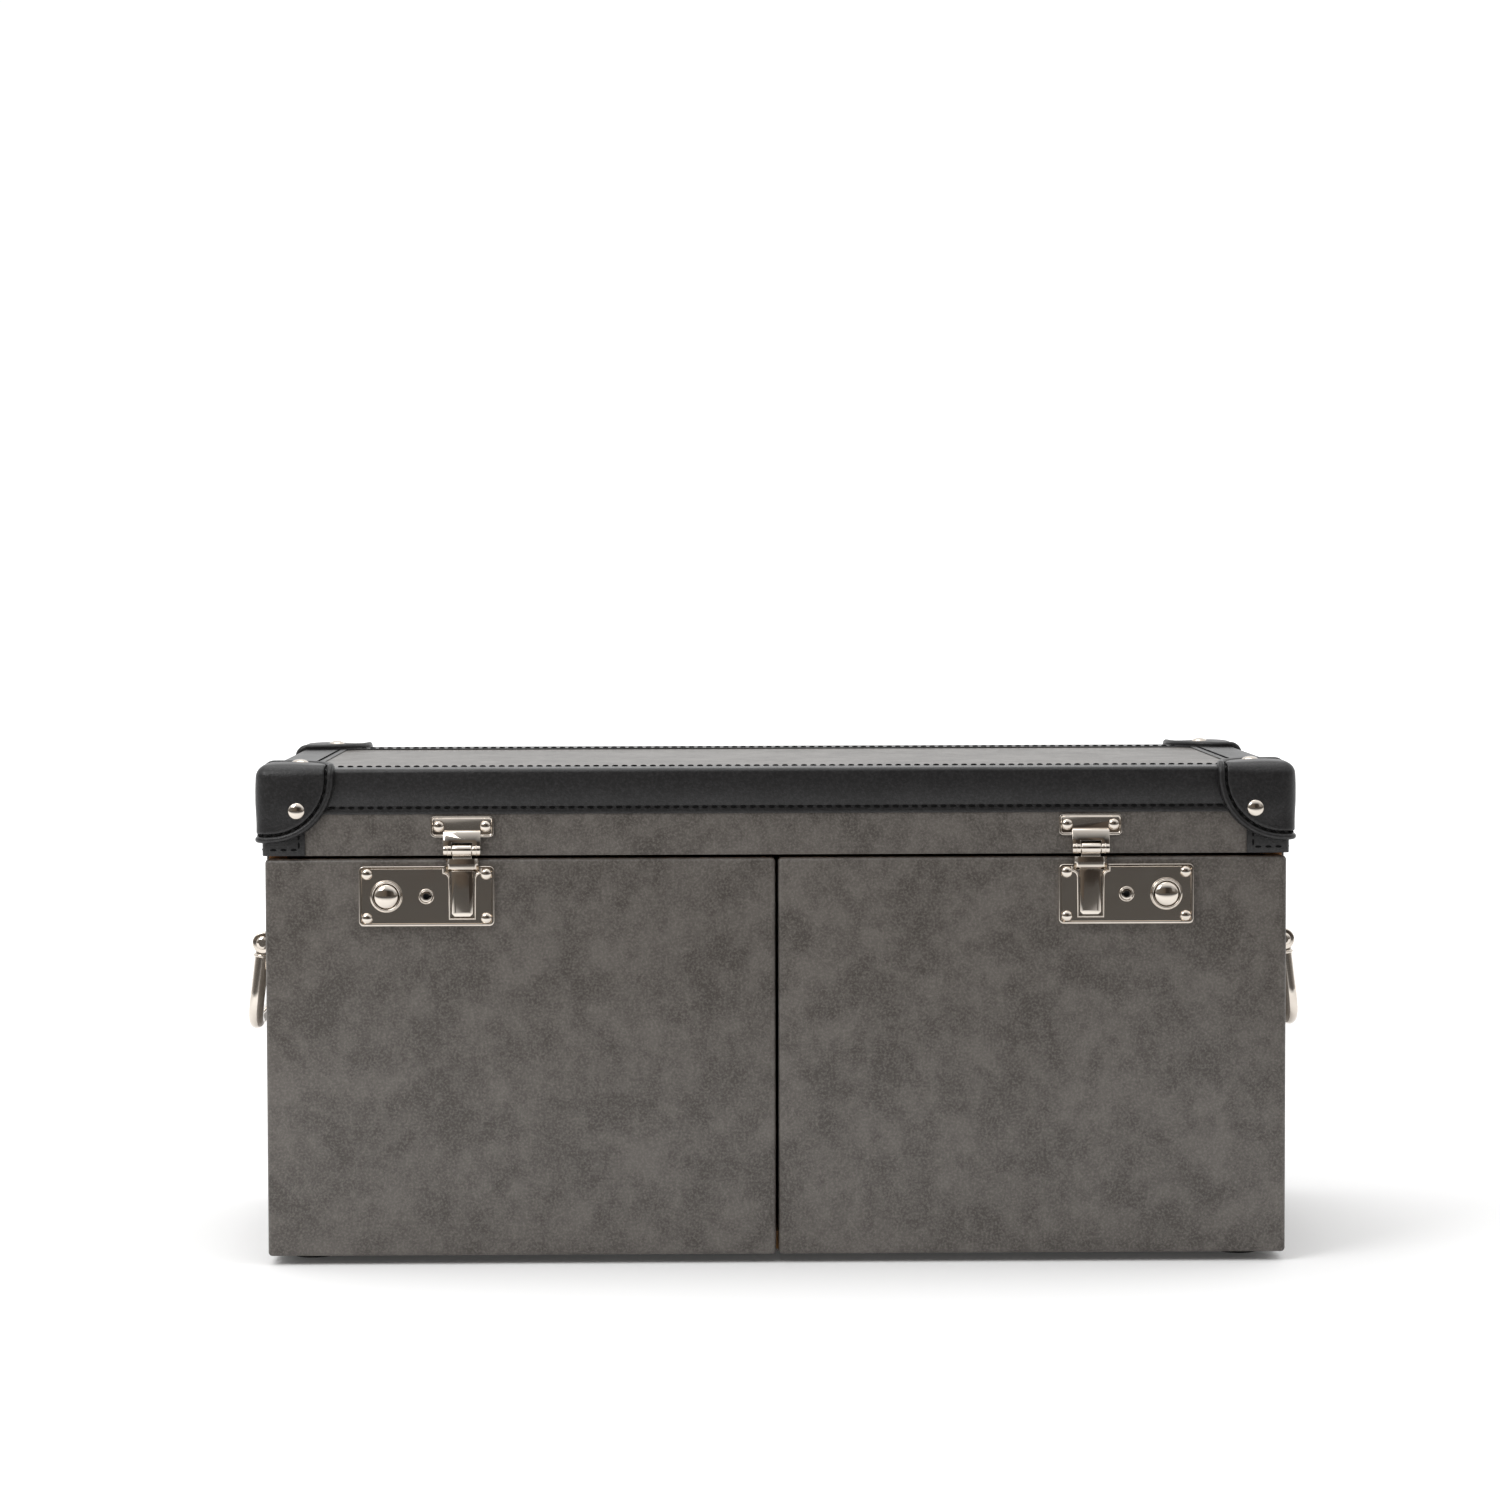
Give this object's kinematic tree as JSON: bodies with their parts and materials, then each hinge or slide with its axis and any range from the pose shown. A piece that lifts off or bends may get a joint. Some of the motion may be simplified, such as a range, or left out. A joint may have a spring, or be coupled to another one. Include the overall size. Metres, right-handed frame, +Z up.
{
  "type": "footlocker",
  "caption": "Leather-covered footlocker trunk with a back-hinged lid, paired front doors, hasp locks and hanging side bail handles.",
  "frame": {"origin": "on the floor, under the middle of the bounding box", "axes": "+X along the length, to the right seen from the front; front doors face -Y; +Z up"},
  "size_m": [0.599, 0.2668, 0.2779],
  "materials": {
    "board": "raw plywood",
    "grey_leather": "mottled, satin, weathered",
    "tan_lining": "plain woven lining",
    "black_leather": "grained, satin, stitched",
    "foot_rubber": "matte",
    "hinge_steel": "plain zinc",
    "polished_nickel": "polished warm nickel"
  },
  "bodies": {
    "case": {"side_board_right": "board", "side_board_left": "board", "back_board": "board", "bottom_board": "board", "case_leather": "grey_leather", "case_lining": "tan_lining", "feet": "foot_rubber", "door_hinge_leaves_case": "hinge_steel", "door_hinge_pins": "hinge_steel", "lid_hinge_leaves_case": "hinge_steel", "lid_hinge_pins": "hinge_steel", "hinge_screws_case": "hinge_steel", "handle_brackets": "polished_nickel", "handle_pins": "polished_nickel", "handle_screws": "polished_nickel"},
    "lid": {"lid_top_board": "board", "lid_front_board": "board", "lid_back_board": "board", "lid_side_boards": "board", "lid_leather": "grey_leather", "lid_lining": "tan_lining", "edge_band": "black_leather", "corner_strips": "black_leather", "corner_cap_front_right": "black_leather", "corner_cap_back_right": "black_leather", "corner_cap_front_left": "black_leather", "corner_cap_back_left": "black_leather", "corner_rivets": "polished_nickel", "hasp_plate_right": "polished_nickel", "hasp_plate_left": "polished_nickel", "hasp_rivets": "polished_nickel", "hasp_pins": "polished_nickel", "lid_hinge_leaves_lid": "hinge_steel", "hinge_screws_lid": "hinge_steel"},
    "bail_right": {"bail_right": "polished_nickel"},
    "bail_left": {"bail_left": "polished_nickel"},
    "hasp_right": {"hasp_right": "polished_nickel"},
    "hasp_left": {"hasp_left": "polished_nickel"},
    "door_right": {"door_board_right": "board", "door_leather_right": "grey_leather", "door_lining_right": "tan_lining", "door_hinge_leaves_right": "hinge_steel", "door_hinge_screws_right": "hinge_steel", "lock_plate_right": "polished_nickel", "lock_rivets_right": "polished_nickel"},
    "button_right": {"lock_button_right": "polished_nickel"},
    "key_right": {"key_plug_right": "polished_nickel", "lock_cam_right": "hinge_steel"},
    "door_left": {"door_board_left": "board", "door_leather_left": "grey_leather", "door_lining_left": "tan_lining", "door_hinge_leaves_left": "hinge_steel", "door_hinge_screws_left": "hinge_steel", "lock_plate_left": "polished_nickel", "lock_rivets_left": "polished_nickel"},
    "button_left": {"lock_button_left": "polished_nickel"},
    "key_left": {"key_plug_left": "polished_nickel", "lock_cam_left": "hinge_steel"}
  },
  "joints": [
    {"name": "lid_hinge", "type": "hinge", "parent": "case", "child": "lid", "pos_m": [0, 0.1296, 0.2257], "axis": [-1, 0, 0], "range_deg": [0, 105]},
    {"name": "door_right_hinge", "type": "hinge", "parent": "case", "child": "door_right", "pos_m": [0.2778, -0.1152, 0.005], "axis": [0, 0, 1], "range_deg": [0, 105]},
    {"name": "hasp_right_hinge", "type": "hinge", "parent": "lid", "child": "hasp_right", "pos_m": [0.172, -0.1298, 0.229], "axis": [-1, 0, 0], "range_deg": [0, 150]},
    {"name": "bail_right_hinge", "type": "hinge", "parent": "case", "child": "bail_right", "pos_m": [0.2895, 0, 0.171], "axis": [0, -1, 0], "range_deg": [0, 95]},
    {"name": "button_right_push", "type": "slide", "parent": "door_right", "child": "button_right", "axis": [0, 1, 0], "range_m": [0, 0.002], "stiffness_N_per_m": 600, "springref_m": -0.001},
    {"name": "key_right_turn", "type": "hinge", "parent": "door_right", "child": "key_right", "pos_m": [0.1916, -0.1264, 0.2037], "axis": [0, -1, 0], "range_deg": [0, 90]},
    {"name": "door_left_hinge", "type": "hinge", "parent": "case", "child": "door_left", "pos_m": [-0.2778, -0.1152, 0.005], "axis": [0, 0, -1], "range_deg": [0, 105]},
    {"name": "hasp_left_hinge", "type": "hinge", "parent": "lid", "child": "hasp_left", "pos_m": [-0.172, -0.1298, 0.229], "axis": [-1, 0, 0], "range_deg": [0, 150]},
    {"name": "bail_left_hinge", "type": "hinge", "parent": "case", "child": "bail_left", "pos_m": [-0.2895, 0, 0.171], "axis": [0, 1, 0], "range_deg": [0, 95]},
    {"name": "button_left_push", "type": "slide", "parent": "door_left", "child": "button_left", "axis": [0, 1, 0], "range_m": [0, 0.002], "stiffness_N_per_m": 600, "springref_m": -0.001},
    {"name": "key_left_turn", "type": "hinge", "parent": "door_left", "child": "key_left", "pos_m": [-0.1916, -0.1264, 0.2037], "axis": [0, 1, 0], "range_deg": [0, 90]}
  ]
}
